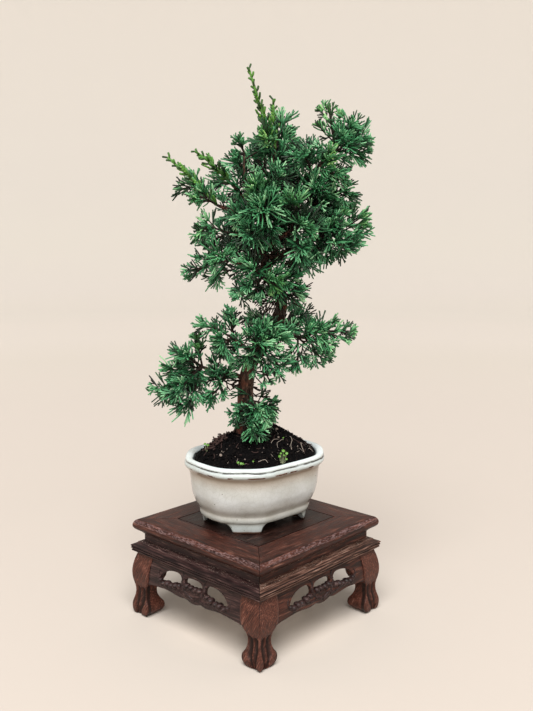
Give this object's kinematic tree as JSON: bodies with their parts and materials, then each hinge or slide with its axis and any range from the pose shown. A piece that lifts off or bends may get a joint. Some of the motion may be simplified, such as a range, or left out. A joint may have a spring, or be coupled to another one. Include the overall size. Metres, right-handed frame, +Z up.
{
  "type": "potted bonsai tree",
  "caption": "Juniper bonsai with a curved trunk and cord-like foliage in pads, planted in a glazed oblong pot with cut corners, set on a square carved wooden stand.",
  "frame": {"origin": "centre of the stand's square footprint, on the plane that its four feet rest on", "axes": "+Z up; +X and +Y square to the sides of the stand; the tree's best side looks between -X and -Y, over the stand's front left corner"},
  "size_m": [0.152, 0.152, 0.4529],
  "materials": {
    "hardwood": "oiled dark hardwood with fine paler grain lines, satin",
    "glazed_stoneware": "cream crackle glaze, gloss, with unglazed brown soles",
    "plastic_mesh": "black plastic mesh",
    "potting_soil": "dark moist crumbly soil",
    "seedling_leaf": "soft bright green leaf",
    "bark": "rough reddish brown peeling bark",
    "juniper_foliage": "bluish green scale leaves pressed to round cords"
  },
  "bodies": {
    "root": {"stand_panel": "hardwood", "stand_rail_front": "hardwood", "stand_waist_front": "hardwood", "stand_ledge_front": "hardwood", "stand_apron_front": "hardwood", "stand_leg_front_left": "hardwood", "stand_rail_right": "hardwood", "stand_waist_right": "hardwood", "stand_ledge_right": "hardwood", "stand_apron_right": "hardwood", "stand_leg_front_right": "hardwood", "stand_rail_back": "hardwood", "stand_waist_back": "hardwood", "stand_ledge_back": "hardwood", "stand_apron_back": "hardwood", "stand_leg_back_right": "hardwood", "stand_rail_left": "hardwood", "stand_waist_left": "hardwood", "stand_ledge_left": "hardwood", "stand_apron_left": "hardwood", "stand_leg_back_left": "hardwood", "pot": "glazed_stoneware", "drain_screen_left": "plastic_mesh", "drain_screen_right": "plastic_mesh", "soil": "potting_soil", "seedling": "seedling_leaf", "trunk_and_branches": "bark", "foliage_low_left": "juniper_foliage", "foliage_low_left_inner": "juniper_foliage", "foliage_trunk_base": "juniper_foliage", "foliage_middle_left": "juniper_foliage", "foliage_middle_front": "juniper_foliage", "foliage_middle_right": "juniper_foliage", "foliage_middle_back": "juniper_foliage", "foliage_waist_left": "juniper_foliage", "foliage_waist_front": "juniper_foliage", "foliage_left_middle": "juniper_foliage", "foliage_upper_left": "juniper_foliage", "foliage_second_leader": "juniper_foliage", "foliage_bare_stub": "juniper_foliage", "foliage_crown_front": "juniper_foliage", "foliage_crown_right_front": "juniper_foliage", "foliage_right": "juniper_foliage", "foliage_right_upper": "juniper_foliage", "foliage_upper_right": "juniper_foliage", "foliage_bright_patch": "juniper_foliage", "foliage_top": "juniper_foliage", "foliage_crown_back": "juniper_foliage", "foliage_crown_back_right": "juniper_foliage", "foliage_crown_back_top": "juniper_foliage"}
  },
  "joints": []
}
